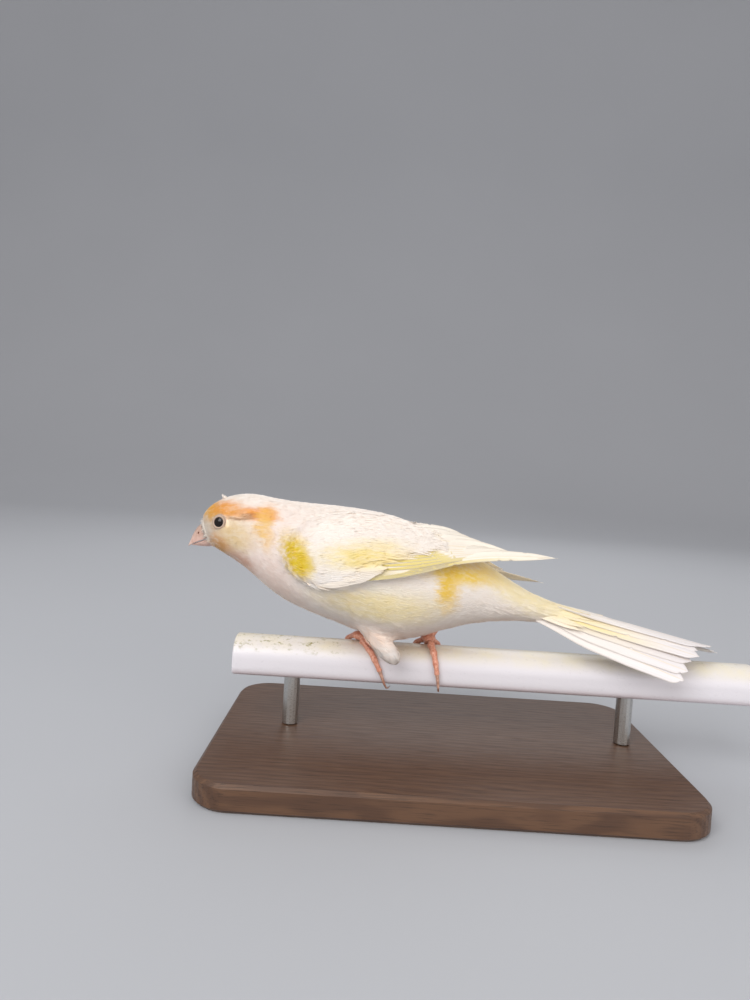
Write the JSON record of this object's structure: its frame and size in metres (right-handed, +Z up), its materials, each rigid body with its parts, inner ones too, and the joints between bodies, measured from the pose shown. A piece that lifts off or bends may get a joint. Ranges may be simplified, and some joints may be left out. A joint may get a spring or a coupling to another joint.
{
  "type": "canary",
  "caption": "Life-size pale yellow canary leaning low along a cut length of white plastic perch, on a plain flat display stand.",
  "frame": {"origin": "middle of the display base's underside", "axes": "+Z up, +X along the perch from the bird's bill towards its tail, -Y on the bird's left side"},
  "size_m": [0.1424, 0.07, 0.0637],
  "materials": {
    "plumage": "soft matt body feathers, cream white with yellow and orange markings",
    "flight_feather": "smooth satin flight and tail feathers, white with pale yellow edges",
    "bill": "satin pinkish horn",
    "eye": "wet black gloss",
    "leg_skin": "satin scaled skin, orange pink",
    "claw": "satin brownish pink horn",
    "perch_plastic": "semi-gloss white moulded plastic, a little soiled on top",
    "stand": "satin dark stained wood",
    "rod": "satin brushed"
  },
  "bodies": {
    "root": {"stand_base": "stand", "stand_rod_left": "rod", "stand_rod_right": "rod", "perch": "perch_plastic", "head": "plumage", "neck": "plumage", "torso": "plumage", "eye_left": "eye", "eye_right": "eye", "bill_upper": "bill", "bill_lower": "bill", "wing_left": "flight_feather", "wing_right": "flight_feather", "tail": "flight_feather", "thigh_left": "plumage", "thigh_right": "plumage", "shank_left": "leg_skin", "shank_right": "leg_skin", "toe_hind_left": "leg_skin", "toe_inner_left": "leg_skin", "toe_middle_left": "leg_skin", "toe_outer_left": "leg_skin", "toe_hind_right": "leg_skin", "toe_inner_right": "leg_skin", "toe_middle_right": "leg_skin", "toe_outer_right": "leg_skin", "claw_hind_left": "claw", "claw_inner_left": "claw", "claw_middle_left": "claw", "claw_outer_left": "claw", "claw_hind_right": "claw", "claw_inner_right": "claw", "claw_middle_right": "claw", "claw_outer_right": "claw"}
  },
  "joints": []
}
